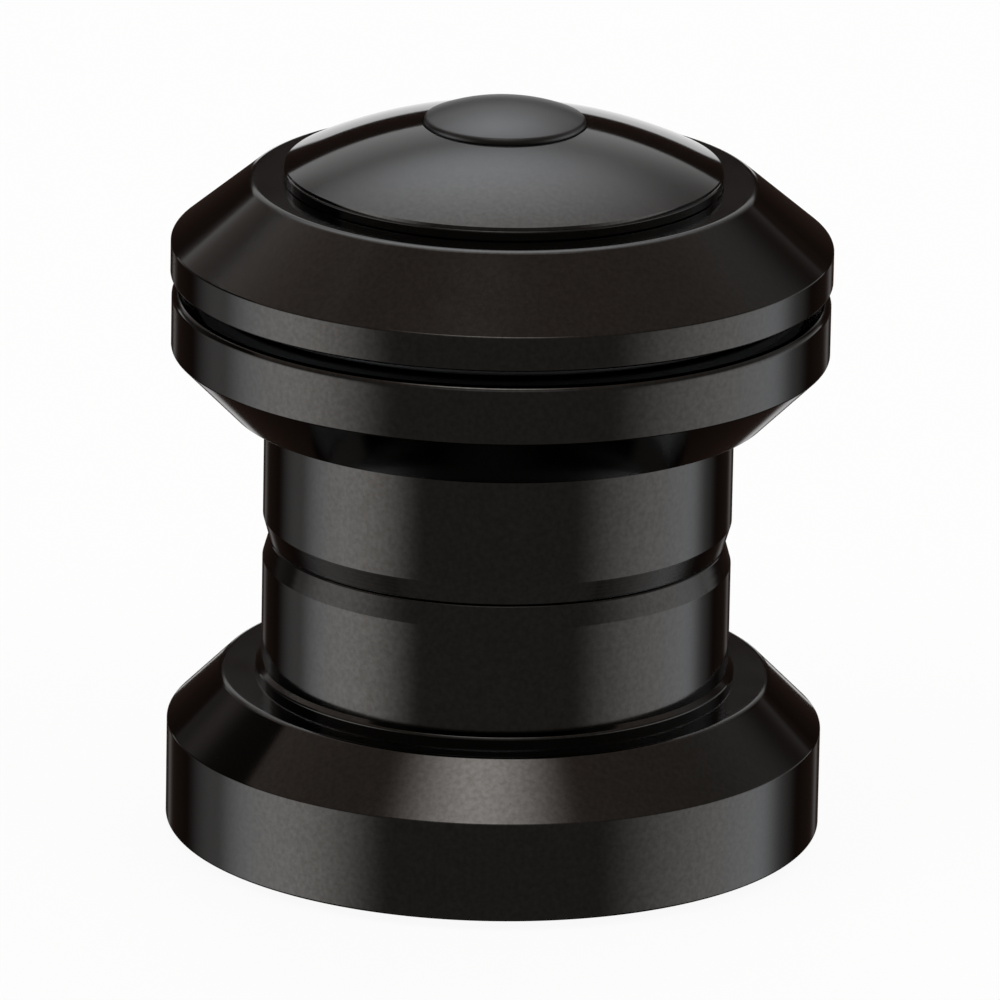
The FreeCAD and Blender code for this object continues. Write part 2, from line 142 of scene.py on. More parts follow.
def seen_directly(tree):
    """1 where the ray comes from the eye, a mirror or clear glass, and 0 where it gathers light."""
    path = add(tree, "ShaderNodeLightPath")
    eye_or_gloss = add(tree, "ShaderNodeMath", {
        0: path.outputs["Is Camera Ray"], 1: path.outputs["Is Glossy Ray"]}, operation="MAXIMUM")
    seen = add(tree, "ShaderNodeMath", {
        0: eye_or_gloss.outputs[0], 1: path.outputs["Is Transmission Ray"]}, operation="MAXIMUM")
    return seen.outputs[0]


def white_room():
    """The world: plain white to look at, and a dimmer fill as light."""
    world = bpy.data.worlds.new("white_room")
    world.use_nodes = True
    tree = world.node_tree
    tree.nodes.clear()
    fill = add(tree, "ShaderNodeBackground", {"Color": linear(ROOM_WHITE), "Strength": ROOM_FILL})
    white = add(tree, "ShaderNodeBackground", {"Color": linear(ROOM_WHITE), "Strength": 1.0})
    mix = add(tree, "ShaderNodeMixShader", {
        0: seen_directly(tree), 1: fill.outputs[0], 2: white.outputs[0]})
    add(tree, "ShaderNodeOutputWorld", {"Surface": mix.outputs[0]})
    bpy.context.scene.world = world


def white_floor():
    """A flat square of matte white under the headset."""
    half = FLOOR_SIZE / 2
    corners = [(-half, -half, 0), (half, -half, 0), (half, half, 0), (-half, half, 0)]
    mesh = bpy.data.meshes.new("floor")
    mesh.from_pydata(corners, [], [(0, 1, 2, 3)])
    floor = bpy.data.objects.new("floor", mesh)
    bpy.context.scene.collection.objects.link(floor)
    paper = bpy.data.materials.new("matte_white_paper")
    paper.use_nodes = True
    tree = paper.node_tree
    tree.nodes.clear()
    matte = add(tree, "ShaderNodeBsdfDiffuse", {"Color": linear(FLOOR_WHITE)})
    glow = add(tree, "ShaderNodeEmission", {"Color": linear(ROOM_WHITE), "Strength": 1.0})
    share = add(tree, "ShaderNodeMath", {0: seen_directly(tree), 1: FLOOR_GLOW}, operation="MULTIPLY")
    mix = add(tree, "ShaderNodeMixShader", {0: share.outputs[0], 1: matte.outputs[0], 2: glow.outputs[0]})
    add(tree, "ShaderNodeOutputMaterial", {"Surface": mix.outputs[0]})
    mesh.materials.append(paper)
    floor.visible_glossy = False
    floor.visible_shadow = False


white_room()
white_floor()
print("white room and floor")

# %% [markdown]
# ## The lamps
#
# Three large soft lamps light the scene at a plain level, at which white paper is white and no more.
# They give the headset its soft shadow and stay out of its reflections, which belong to the cards of
# the next cell. A lamp of area A that glows with radiance L sends out the power pi * A * L, so each is
# written as the brightness of its glowing face, in multiples of white.

# %% The lamps
LAMP_DISTANCE = 1.6
LAMP_SIZE = 1.0


def direction(azimuth, elevation):
    """Unit vector to an azimuth right of the camera and an elevation, in degrees."""
    a = math.radians(azimuth)
    e = math.radians(elevation)
    return Vector((math.sin(a) * math.cos(e), -math.cos(a) * math.cos(e), math.sin(e)))


def soft_box(name, azimuth, elevation, brightness):
    """Square lamp that faces the headset. Its power is pi * size^2 * brightness."""
    light = bpy.data.lights.new(name, "AREA")
    light.size = LAMP_SIZE
    light.energy = math.pi * LAMP_SIZE * LAMP_SIZE * brightness
    lamp = bpy.data.objects.new(name, light)
    lamp.rotation_euler = direction(azimuth, elevation).to_track_quat("Z", "Y").to_euler()
    lamp.location = CAMERA_TARGET + direction(azimuth, elevation) * LAMP_DISTANCE
    lamp.visible_camera = False
    lamp.visible_glossy = False
    bpy.context.scene.collection.objects.link(lamp)


soft_box("left_soft_box", -60, 45, 1.95)
soft_box("right_soft_box", 65, 40, 1.6)
soft_box("back_soft_box", 170, 60, 1.95)
print("three lamps")

# %% [markdown]
# ## Cards for the reflections
#
# A black glossy thing has hardly a colour of its own: what the eye sees on it is the room. So a
# photographer of black metal sets up paper cards round it, bright ones for the bands of light and
# black ones for the dark edges, just out of the picture. The cards here do the same. They show in
# reflections only and shed no light on anything, so they can reach below the floor's height, where
# upright walls look when they are seen from above. A bright card glows most in its middle and fades
# to nothing at its edge, which is why the bands on the walls have no hard ends.
#
# Black is no one colour. The metal's own is warm, so the brightest cards are a little blue, and their
# bands come out a neutral grey. The dimmer cards are cream and the black ones brown, because the
# darkest parts of the photograph are brown. Cards darker than the white room stand nearer than the ones
# that are brighter, so they cover them.

# %% One function for the paper, one for the card
BRIGHT_DISTANCE = 1.3
DARK_DISTANCE = 1.2
BRIGHTER_THAN_WHITE = 1
VERY_BRIGHT = 3
NEARLY_BLACK = 0.1
HARD_EDGE = 0.02
BLACK_PAPER = 0.03
CARD_WHITE = "#f0f7ff"
CARD_CREAM = "#fff2ec"
CARD_BROWN = "#ffcdb9"


def fade(tree, across, soft):
    """1 in the middle of a card and 0 at its edge: a smooth step of 1 - |2 u - 1| over the soft share."""
    centred = add(tree, "ShaderNodeMath", {0: across, 1: 2.0, 2: -1.0}, operation="MULTIPLY_ADD")
    apart = add(tree, "ShaderNodeMath", {0: centred.outputs[0]}, operation="ABSOLUTE")
    inside = add(tree, "ShaderNodeMath", {0: 1.0, 1: apart.outputs[0]}, operation="SUBTRACT")
    step = add(tree, "ShaderNodeMapRange", {"Value": inside.outputs[0], "From Min": 0.0, "From Max": soft},
               interpolation_type="SMOOTHSTEP")
    return step.outputs[0]


def paper_colour(brightness):
    """The paper's tint goes by its brightness."""
    if brightness > VERY_BRIGHT:
        return CARD_WHITE
    return CARD_CREAM if brightness > NEARLY_BLACK else CARD_BROWN


def card_paper(name, brightness, soft_sides, soft_ends):
    """Glowing paper that turns clear towards the card's edges."""
    paper = bpy.data.materials.new(name)
    paper.use_nodes = True
    tree = paper.node_tree
    tree.nodes.clear()
    uv = add(tree, "ShaderNodeSeparateXYZ", {0: add(tree, "ShaderNodeTexCoord").outputs["UV"]})
    cover = add(tree, "ShaderNodeMath", {0: fade(tree, uv.outputs[0], soft_sides),
                                         1: fade(tree, uv.outputs[1], soft_ends)}, operation="MULTIPLY")
    glow = add(tree, "ShaderNodeEmission", {
        "Color": linear(paper_colour(brightness)), "Strength": brightness})
    clear = add(tree, "ShaderNodeBsdfTransparent")
    mix = add(tree, "ShaderNodeMixShader", {0: cover.outputs[0], 1: clear.outputs[0], 2: glow.outputs[0]})
    add(tree, "ShaderNodeOutputMaterial", {"Surface": mix.outputs[0]})
    return paper


def card(name, azimuth, elevation, half_width, half_height, brightness, soft_sides, soft_ends, roll):
    """Card that spans an angle on either side of its middle, so its half size is distance * tan(angle)."""
    distance = BRIGHT_DISTANCE if brightness > BRIGHTER_THAN_WHITE else DARK_DISTANCE
    towards = direction(azimuth, elevation)
    level = direction(azimuth + 90, 0)
    steep = towards.cross(level)
    sideways = level * math.cos(math.radians(roll)) + steep * math.sin(math.radians(roll))
    upwards = towards.cross(sideways)
    middle = CAMERA_TARGET + towards * distance
    x = sideways * distance * math.tan(math.radians(half_width))
    y = upwards * distance * math.tan(math.radians(half_height))
    mesh = bpy.data.meshes.new(name)
    mesh.from_pydata([middle - x - y, middle + x - y, middle + x + y, middle - x + y], [], [(0, 1, 2, 3)])
    mesh.uv_layers.new().data.foreach_set("uv", [0, 0, 1, 0, 1, 1, 0, 1])
    mesh.materials.append(card_paper(name, brightness, soft_sides, soft_ends))
    board = bpy.data.objects.new(name, mesh)
    board.visible_camera = False
    board.visible_diffuse = False
    board.visible_shadow = False
    board.visible_transmission = False
    bpy.context.scene.collection.objects.link(board)


print(f"cards stand {BRIGHT_DISTANCE} m away if they are brighter than white, and {DARK_DISTANCE} m if not")

# %% The cards
# Name, azimuth and elevation, half width and half height, brightness, soft share of the sides and of
# the ends, roll. The angles are in degrees, and a brightness of 1 is white.
CARDS = [
    # The bands of light on the upright walls
    ("left_white_card", -74, -13, 37, 31, 12.0, 1.0, 0.7, 0),
    ("right_white_card", 81, -12, 42, 33, 7.8, 1.0, 0.7, 0),
    # The patch on the lower cone, the sheen of the dome, and the grey of the upper cone
    ("front_top_card", -9, 71, 24, 11, 21.0, 1.0, 0.6, 0),
    ("back_top_card", -171, 65, 34, 33, 9.0, 1.0, 1.0, 0),
    ("top_card", 0, 90, 55, 55, 1.5, 0.8, 0.8, 0),
    # The fine lines on the rounded edges
    ("edge_top_card", 180, 85, 20, 8, 6.0, 0.5, 0.5, 0),
    ("edge_front_card", 0, 40, 30, 15, 4.0, 0.8, 0.8, 0),
    # The grey at the left of the upper cone
    ("left_cone_card", -108, 45, 34, 22, 1.65, 0.9, 0.9, 0),
    # The dark ring behind the dome and on the flat rings
    ("back_black_card", 180, 12.6, 31, 7.4, BLACK_PAPER, HARD_EDGE, 0.1, 0),
    # The left ends of the cones: a soft grey, and a dark corner with a slanted edge
    ("left_grey_card", -143, 25, 16, 12, 0.42, 0.8, 0.8, 0),
    ("left_tilted_black_card", -121, 15, 25, 18, 0.12, 0.15, 0.15, 39),
    # The dark right ends of the cones
    ("right_black_corner_card", 142, 20, 27, 27, 0.06, 1.0, 1.0, 0),
    # The dark edges of the walls
    ("left_black_card", -144, -26, 34, 23, BLACK_PAPER, 0.8, 0.15, 0),
    ("right_black_card", 144, -26, 34, 23, BLACK_PAPER, 0.8, 0.15, 0),
    ("left_rear_black_card", -158, -2, 13, 14, BLACK_PAPER, 0.1, 0.1, 0),
    ("right_rear_black_card", 156, -1, 14, 14, BLACK_PAPER, 0.1, 0.1, 0),
    # The dark undersides, and the outlines of the walls
    ("low_black_card", 180, -72, 50, 45, BLACK_PAPER, 0.2, 0.1, 0),
    ("rear_black_card", 180, -18, 20, 6, BLACK_PAPER, 0.3, 0.5, 0),
    # The crisp outline of the upper cone
    ("left_contour_black_card", -171.5, -8, 2.5, 9, BLACK_PAPER, 0.3, 0.3, -37),
    ("right_contour_black_card", 171.5, -8, 2.5, 9, BLACK_PAPER, 0.3, 0.3, 37),
]
for entry in CARDS:
    card(*entry)
print(f"{len(CARDS)} cards")

# %% [markdown]
# ## Finishes
#
# Each finish is one Principled shader whose colour, roughness and bump come from soft noise on Object
# coordinates, so nothing is a flat colour. The noise's grain is a real size in millimetres: what a
# blasting bead, a lathe tool or a mould leaves behind. The turned metals also get fine rings about the
# steering axis, which are a wave in the distance from the axis on faces and in height on walls.

# %% The common recipe of a finish
PATCH_GRAINS = 12
NOISE_LOW, NOISE_HIGH = 0.3, 0.7
RING_SHARE = 0.35


def finish(name, colours, metallic, roughness, grain, bump, rings=0.0, ior=None, tint=None):
    """Material whose colour and bump follow a noise of a given grain, and its roughness larger patches.

    The noise runs over Object coordinates in metres, so its scale is 1 / grain. Bump height is in metres.
    Rings are a sine of height and of distance from the axis, one every so many metres.
    """
    material = bpy.data.materials.new(name)
    material.use_nodes = True
    tree = material.node_tree
    tree.nodes.clear()
    place = add(tree, "ShaderNodeTexCoord").outputs["Object"]
    noise = add(tree, "ShaderNodeTexNoise", {"Vector": place, "Scale": 1 / grain, "Detail": 4.0})
    patches = add(tree, "ShaderNodeTexNoise", {
        "Vector": place, "Scale": 1 / (PATCH_GRAINS * grain), "Detail": 2.0})
    spread = add(tree, "ShaderNodeMapRange", {
        "Value": noise.outputs["Fac"], "From Min": NOISE_LOW, "From Max": NOISE_HIGH})
    colour = add(tree, "ShaderNodeMix", {
        0: spread.outputs[0], 6: linear(colours[0]), 7: linear(colours[1])}, data_type="RGBA")
    rough = add(tree, "ShaderNodeMapRange", {
        "Value": patches.outputs["Fac"], "To Min": roughness[0], "To Max": roughness[1]})
    height = noise.outputs["Fac"]
    if rings:
        apart = add(tree, "ShaderNodeSeparateXYZ", {0: place})
        across = add(tree, "ShaderNodeCombineXYZ", {0: apart.outputs[0], 1: apart.outputs[1]})
        radius = add(tree, "ShaderNodeVectorMath", {0: across.outputs[0]}, operation="LENGTH")
        along = add(tree, "ShaderNodeMath", {
            0: radius.outputs["Value"], 1: apart.outputs[2]}, operation="ADD")
        phase = add(tree, "ShaderNodeMath", {
            0: along.outputs[0], 1: 2 * math.pi / rings}, operation="MULTIPLY")
        wave = add(tree, "ShaderNodeMath", {0: phase.outputs[0]}, operation="SINE")
        height = add(tree, "ShaderNodeMath", {0: wave.outputs[0], 1: RING_SHARE, 2: height},
                     operation="MULTIPLY_ADD").outputs[0]
    relief = add(tree, "ShaderNodeBump", {"Height": height, "Strength": 1.0, "Distance": bump})
    skin = add(tree, "ShaderNodeBsdfPrincipled", {
        "Base Color": colour.outputs[2], "Metallic": metallic, "Roughness": rough.outputs[0],
        "Normal": relief.outputs[0]})
    if ior:
        skin.inputs["IOR"].default_value = ior
    if tint:
        skin.inputs["Specular Tint"].default_value = linear(tint)
    add(tree, "ShaderNodeOutputMaterial", {"Surface": skin.outputs[0]})
    return material


def wear(material, slot, *names):
    """The pieces take this material. The slot argument is not used."""
    for name in names:
        piece = bpy.data.objects[name]
        piece.data.materials.clear()
        piece.data.materials.append(material)
    print(f"{material.name}: {len(names)} pieces")


print(f"the patches of a finish are {PATCH_GRAINS} of its grains wide")

# %% [markdown]
# ## Black anodised aluminium
#
# The cups, the cover and the cap are turned from aluminium bar, blasted with fine beads and dyed
# black in the oxide layer. The dye swallows nearly everything, so hardly more than the cards shows,
# and that most where the metal is seen almost edge-on. The two blacks are a hair apart and change from
# grain to grain, so the eye sees blasted metal and not ink. The dents of the beads and the rings of the
# lathe are about 0.1 mm apart on the real thing, too fine to show here, so both are drawn three or four
# times as coarse. The cap is smoother, without rings, which makes the sheen of its dome slide into the
# black behind it in one clean line.

# %% Black anodised aluminium
black_anodised = finish("black_anodised_aluminium_blasted", ("#171513", "#1c1a18"), 1.0, (0.09, 0.12),
                        0.35 * MM, 0.0006 * MM, rings=0.4 * MM)
cap_anodised = finish("black_anodised_aluminium_cap", ("#171513", "#1c1a18"), 1.0, (0.06, 0.08),
                      0.35 * MM, 0.0006 * MM)
print(black_anodised.name, "and", cap_anodised.name, "wait for the turned pieces")

# %% [markdown]
# ## Steel, rubber and nylon
#
# Inside are ground bearing steel, polished balls, a blackened crown race and bolt, and the zinc-plated
# star nut with its faint blue. The seals are moulded rubber with a fine matte grain, the split ring is
# black glass-filled nylon, and the ball cages are natural nylon, the colour of ivory. The plug is
# moulded smoother than the seals. Its tint takes the shine off where the eye meets it steeply, so its
# crown is as grey as the dome round it and its front edge is black.

# %% Steel, rubber and nylon
bearing_steel = finish("ground_bearing_steel", ("#b9babc", "#c6c7c9"), 1.0, (0.16, 0.24),
                       0.2 * MM, 0.002 * MM, rings=0.15 * MM)
ball_steel = finish("polished_ball_steel", ("#dddee0", "#e8e9ea"), 1.0, (0.04, 0.08),
                    0.3 * MM, 0.0004 * MM)
blackened_steel = finish("blackened_turned_steel", ("#3a3836", "#4a4846"), 1.0, (0.34, 0.44),
                         0.3 * MM, 0.004 * MM, rings=0.3 * MM)
zinc_steel = finish("zinc_plated_pressed_steel", ("#b9c0c9", "#cdd2d8"), 1.0, (0.26, 0.38),
                    0.5 * MM, 0.006 * MM)
seal_rubber = finish("moulded_nitrile_rubber", ("#0f0e0e", "#141313"), 0.0, (0.55, 0.7),
                     0.12 * MM, 0.006 * MM, ior=1.35)
plug_rubber = finish("moulded_satin_plug", ("#0a0a0a", "#0d0d0d"), 0.0, (0.33, 0.38),
                     0.15 * MM, 0.001 * MM, ior=1.45, tint="#70665f")
ring_nylon = finish("glass_filled_nylon", ("#1e1e1e", "#2b2a2a"), 0.0, (0.45, 0.6),
                    0.25 * MM, 0.008 * MM, ior=1.53)
cage_nylon = finish("natural_nylon", ("#d9cfb4", "#e4dbc4"), 0.0, (0.4, 0.5),
                    0.3 * MM, 0.004 * MM, ior=1.53)

ends = ("upper", "lower")
wear(bearing_steel, "bearing_steel",
     *[f"{end}_bearing_{part}" for end in ends for part in ("outer_race", "inner_race")])
wear(ball_steel, "ball_steel", *[f"{end}_bearing_balls" for end in ends])
wear(cage_nylon, "cage_nylon", *[f"{end}_bearing_cage" for end in ends])
wear(seal_rubber, "seal_rubber", "crown_race_seal", "cover_seal", "cover_o_ring",
     *[f"{end}_bearing_{side}_side_seal" for end in ends for side in ("wedge", "seat")])
wear(ring_nylon, "ring_nylon", "compression_ring")
wear(blackened_steel, "blackened_steel", "crown_race")
wear(zinc_steel, "zinc_plated_steel", "star_nut_barrel", "star_nut_upper_star", "star_nut_lower_star")

# %% [markdown]
# ## The turned pieces, with clean edges
#
# On polished black metal a small rounding is a line of light, and the solids' own triangles break that
# line into dashes. So the four pieces that the picture is made of are turned again from the corners of
# their sections, in millimetres and in the solids' places. Each corner is (radius, height), a third
# number rounds it, and two more draw the side that ends there as an arc through that point. Rows lie a
# few degrees apart on a rounding, and one more row sits close beside each end of a straight side.
# Without it, the smooth shading of the rounding would bleed far into the flat face.
#
# How wide a solid is, and where it begins and ends, is read from the frame. The other corners follow
# from that by a few sizes of the real piece. The sections are the solids' own but for what the
# photograph shows a little differently, by a quarter of a millimetre at most.

# %% A section turned about the steering axis
TURN_COLUMNS = 480
ROUND_STEP = math.radians(7)
LONGEST_STEP = 0.4
SUPPORT = 0.02
SHARP_ANGLE = math.radians(32)


def surface(name, points, faces):
    """Mesh object from points in millimetres, smooth but for its sharp corners."""
    mesh = bpy.data.meshes.new(name)
    mesh.from_pydata((points * MM).tolist(), [], faces)
    mesh.polygons.foreach_set("use_smooth", [True] * len(mesh.polygons))
    mesh.set_sharp_from_angle(angle=SHARP_ANGLE)
    piece = bpy.data.objects.new(name, mesh)
    bpy.context.scene.collection.objects.link(piece)
    return piece


def arc(first, through, last):
    """Points on the arc through three points. Its centre c solves 2 (q - p) . c = |q|^2 - |p|^2 twice."""
    spans = 2 * np.array([through - first, last - first])
    squares = np.array([through @ through - first @ first, last @ last - first @ first])
    centre = np.linalg.solve(spans, squares)
    radius = np.linalg.norm(first - centre)
    start, end = [math.atan2(p[1] - centre[1], p[0] - centre[0]) for p in (first, last)]
    turn = (end - start + math.pi) % (2 * math.pi) - math.pi
    steps = math.ceil(max(abs(turn) / ROUND_STEP, abs(turn) * radius / LONGEST_STEP))
    angles = start + turn * np.linspace(0, 1, steps + 1)
    return centre + radius * np.stack([np.cos(angles), np.sin(angles)], axis=1)


def section(corners):
    """Points all round a section, from its corners.

    With half the angle h between its sides, a rounding of radius r starts r / tan h from its corner, and
    the middle of its arc lies r / sin h - r from it.
    """
    points = [np.array(c[:2]) for c in corners]
    starts = list(points)
    ends = list(points)
    rounds = [p[None] for p in points]
    for i, c in enumerate(corners):
        if len(c) == 3:
            before = points[i - 1] - points[i]
            after = points[(i + 1) % len(points)] - points[i]
            before /= np.linalg.norm(before)
            after /= np.linalg.norm(after)
            half, radius = math.acos(before @ after) / 2, c[2]
            inward = (before + after) / np.linalg.norm(before + after)
            ends[i] = points[i] + before * radius / math.tan(half)
            starts[i] = points[i] + after * radius / math.tan(half)
            rounds[i] = arc(ends[i], points[i] + inward * (radius / math.sin(half) - radius), starts[i])
    rows = []
    for i, c in enumerate(corners):
        side = ends[i] - starts[i - 1]
        length = np.linalg.norm(side)
        if len(c) == 5:
            rows.append(arc(starts[i - 1], np.array(c[3:]), ends[i])[1:-1])
        elif length > 3 * SUPPORT:
            step = side * SUPPORT / length
            rows.append(np.array([starts[i - 1] + step, ends[i] - step]))
        rows.append(rounds[i])
    return np.concatenate(rows)


def measured(node):
    """Widest radius, lowest and highest height of a solid in the frame, in millimetres."""
    low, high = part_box(node)
    return [round(size / MM, 4) for size in (high.x, low.z, high.z)]


def turned(name, replaced, body, corners):
    """Closed ring: the section's row i and column j give (r cos a, r sin a, z), a = 2 pi j / columns."""
    rows = section(corners)
    a = np.arange(TURN_COLUMNS) * 2 * np.pi / TURN_COLUMNS
    height = np.repeat(rows[:, 1:], TURN_COLUMNS, axis=1)
    points = np.stack([rows[:, :1] * np.cos(a), rows[:, :1] * np.sin(a), height], axis=2).reshape(-1, 3)
    i = np.arange(len(rows))[:, None]
    j = np.arange(TURN_COLUMNS)[None, :]
    here, above = i * TURN_COLUMNS, (i + 1) % len(rows) * TURN_COLUMNS
    k = (j + 1) % TURN_COLUMNS
    quads = np.stack([here + j, here + k, above + k, above + j], axis=2).reshape(-1, 4)
    piece = surface(name, points, quads.tolist())
    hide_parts(replaced)
    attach(piece, body)
    print(f"{name}: {2 * len(quads)} triangles")
    return piece


# %% [markdown]
# ## The two cups
#
# Both cups have a skirt of 34 mm that is pressed into the head tube, a floor of 1.5 mm, and behind it
# the pocket of a bearing 41 mm wide, with 0.03 mm of play and a 45 degree seat. Their cones are 45
# degrees too, so a cone is as high as it is wide. The lower cup has a small step where its skirt meets
# the shoulder, and a wider mouth for the crown race's seal. Its shoulder is rounder here than in the
# solid.

# %% The two cups
EDGE = 0.2
SMALL_EDGE = 0.1
SKIRT_RADIUS = 17.0
SKIRT_BORE = 15.4
LEAD_WIDTH, LEAD_HEIGHT = 0.47, 1.65
CUP_FLOOR = 1.5
BEARING_POCKET = 20.53
BEARING_SEAT = 1.63
LOWER_BAND, LOWER_CONE = 7.3, 3.85
LOWER_SHOULDER_ROUND = 0.6
STEP_RADIUS, STEP_HEIGHT, STEP_LEAD, STEP_ROUND = 17.4, 0.47, 0.3, 0.25
MOUTH_RADIUS, MOUTH_DEPTH = 21.5, 2.45
UPPER_BAND, UPPER_CONE = 4.2, 4.2
RIM_ROUND = 0.55

cup_radius, lower_rim, skirt_joint = measured("lower_cup")
lower_band_top = lower_rim + LOWER_BAND
lower_shoulder = lower_band_top + LOWER_CONE
lower_floor = lower_shoulder - CUP_FLOOR
step_top = lower_shoulder + STEP_HEIGHT
mouth_top = lower_rim + MOUTH_DEPTH
lower_cup = turned("lower_cup_turned", "lower_cup", "cups", [
    (MOUTH_RADIUS, lower_rim, EDGE),
    (cup_radius, lower_rim, EDGE),
    (cup_radius, lower_band_top, EDGE),
    (cup_radius - LOWER_CONE, lower_shoulder, LOWER_SHOULDER_ROUND),
    (STEP_RADIUS, lower_shoulder),
    (STEP_RADIUS, step_top, STEP_ROUND),
    (SKIRT_RADIUS, step_top + STEP_LEAD),
    (SKIRT_RADIUS, skirt_joint - LEAD_HEIGHT, EDGE),
    (SKIRT_RADIUS - LEAD_WIDTH, skirt_joint, EDGE),
    (SKIRT_BORE, skirt_joint, EDGE),
    (SKIRT_BORE, lower_floor, EDGE),
    (BEARING_POCKET - BEARING_SEAT, lower_floor),
    (BEARING_POCKET, lower_floor - BEARING_SEAT),
    (BEARING_POCKET, mouth_top + MOUTH_RADIUS - BEARING_POCKET),
    (MOUTH_RADIUS, mouth_top)])

upper_rim = measured("upper_cup")[2]
upper_band_bottom = upper_rim - UPPER_BAND
upper_shoulder = upper_band_bottom - UPPER_CONE
upper_floor = upper_shoulder + CUP_FLOOR
upper_cup = turned("upper_cup_turned", "upper_cup", "cups", [
    (BEARING_POCKET, upper_rim, EDGE),
    (BEARING_POCKET, upper_floor + BEARING_SEAT),
    (BEARING_POCKET - BEARING_SEAT, upper_floor),
    (SKIRT_BORE, upper_floor, EDGE),
    (SKIRT_BORE, skirt_joint, EDGE),
    (SKIRT_RADIUS - LEAD_WIDTH, skirt_joint, EDGE),
    (SKIRT_RADIUS, skirt_joint + LEAD_HEIGHT, EDGE),
    (SKIRT_RADIUS, upper_shoulder, SMALL_EDGE),
    (cup_radius - UPPER_CONE, upper_shoulder, EDGE),
    (cup_radius, upper_band_bottom, EDGE),
    (cup_radius, upper_rim, RIM_ROUND)])

# %% [markdown]
# ## The bearing cover
#
# The cover is a cone with a low band, hollow beneath, with a seat for the dark ring in the gap and a
# groove in its bore for the O-ring. Its inner cone is the outer one moved in by the wall's thickness.
# For a cone that goes in by run over rise, from radius R at height z0, the points inside the wall w lie
# where (R - r) * rise - (z - z0) * run = w * sqrt(run^2 + rise^2).

# %% The bearing cover
COVER_BAND = 2.5
COVER_TOP_RADIUS, COVER_TOP_ROUND = 18.25, 0.8
COVER_WALL = 2.4
COVER_BORE = 14.5
SEAL_INNER, SEAL_OUTER, SEAL_SEAT = 20.3, 21.9, 1.0
GROOVE_DEPTH = 0.95
# These are measured down from the cover's top
GROOVE_HIGH, GROOVE_LOW = 0.65, 1.95
CHAMBER = 2.55

cover_radius, cover_bottom, cover_top = measured("bearing_cover")
cover_band_top = cover_bottom + COVER_BAND
run = cover_radius - COVER_TOP_RADIUS
rise = cover_top - cover_band_top
wall_term = COVER_WALL * math.hypot(run, rise)
chamber_top = cover_top - CHAMBER
chamber_radius = cover_radius - ((chamber_top - cover_band_top) * run + wall_term) / rise
chamber_foot = cover_band_top + ((cover_radius - SEAL_INNER) * rise - wall_term) / run
cover = turned("bearing_cover_turned", "bearing_cover", "steerer_side", [
    (SEAL_OUTER, cover_bottom),
    (cover_radius, cover_bottom, EDGE),
    (cover_radius, cover_band_top, EDGE),
    (COVER_TOP_RADIUS, cover_top, COVER_TOP_ROUND),
    (COVER_BORE, cover_top, EDGE),
    (COVER_BORE, cover_top - GROOVE_HIGH),
    (COVER_BORE + GROOVE_DEPTH, cover_top - GROOVE_HIGH),
    (COVER_BORE + GROOVE_DEPTH, cover_top - GROOVE_LOW),
    (COVER_BORE, cover_top - GROOVE_LOW),
    (COVER_BORE, chamber_top),
    (chamber_radius, chamber_top),
    (SEAL_INNER, chamber_foot),
    (SEAL_INNER, cover_bottom + SEAL_SEAT),
    (SEAL_OUTER, cover_bottom + SEAL_SEAT)])

# %% [markdown]
# ## The top cap
#
# The cap lies on the cover, with a lip that centres it, a hollow, and a hub with the hole and the
# counterbore of the bolt. It is 0.15 mm wider here than the solid, and its edge steps in by 0.11 mm
# below the dome, which draws two fine lines of light. The dome is part of a ball and a little flatter
# than the solid's. It ends in a low recess for the plug.

# %% The top cap
CAP_WIDER = 0.15
CAP_RIM_STEP, CAP_RIM_SLANT = 0.11, 0.04
CAP_HUB = 7.4
CAP_HOLLOW_ROUND = 0.5
LIP_INNER, LIP_OUTER, LIP_DEPTH = 12.6, 13.9, 2.35
DOME_BALL = 34.8
RECESS_RADIUS = 5.97
COUNTERBORE = 5.35
BOLT_HOLE = 3.2
PLUG_ABOVE_SEAT = 1.8
BOLT_HEAD_HEIGHT = 4.0
# These are measured up from the cover's top
CAP_RIM = 0.73
CAP_HOLLOW = 0.85
DOME_END = 4.258


def dome(radius):
    """Height of the dome, where it ends at the recess + sqrt(R^2 - r^2) - sqrt(R^2 - recess radius^2)."""
    recess = math.sqrt(DOME_BALL ** 2 - RECESS_RADIUS ** 2)
    return cover_top + DOME_END + math.sqrt(DOME_BALL ** 2 - radius ** 2) - recess


solid_cap_radius, cap_bottom = measured("top_cap")[:2]
cap_radius = solid_cap_radius + CAP_WIDER
dome_start = cap_radius - CAP_RIM_STEP
dome_middle = (dome_start + RECESS_RADIUS) / 2
plug_radius, plug_bottom, plug_top = measured("cap_plug")
plug_seat = plug_top - PLUG_ABOVE_SEAT
head_radius, bolt_tip, head_top = measured("cap_bolt")
bolt_seat = head_top - BOLT_HEAD_HEIGHT
cap = turned("top_cap_turned", "top_cap", "steerer_side", [
    (BOLT_HOLE, cap_bottom, EDGE),
    (CAP_HUB, cap_bottom, EDGE),
    (CAP_HUB, cover_top + CAP_HOLLOW, CAP_HOLLOW_ROUND),
    (LIP_INNER, cover_top + CAP_HOLLOW, CAP_HOLLOW_ROUND),
    (LIP_INNER, cover_top - LIP_DEPTH),
    (LIP_OUTER, cover_top - LIP_DEPTH, EDGE),
    (LIP_OUTER, cover_top),
    (cap_radius, cover_top, SMALL_EDGE),
    (cap_radius, cover_top + CAP_RIM, SMALL_EDGE),
    (dome_start, cover_top + CAP_RIM + CAP_RIM_SLANT),
    (dome_start, dome(dome_start)),
    (RECESS_RADIUS, dome(RECESS_RADIUS), 0, dome_middle, dome(dome_middle)),
    (RECESS_RADIUS, plug_seat),
    (COUNTERBORE, plug_seat),
    (COUNTERBORE, bolt_seat),
    (BOLT_HOLE, bolt_seat)])
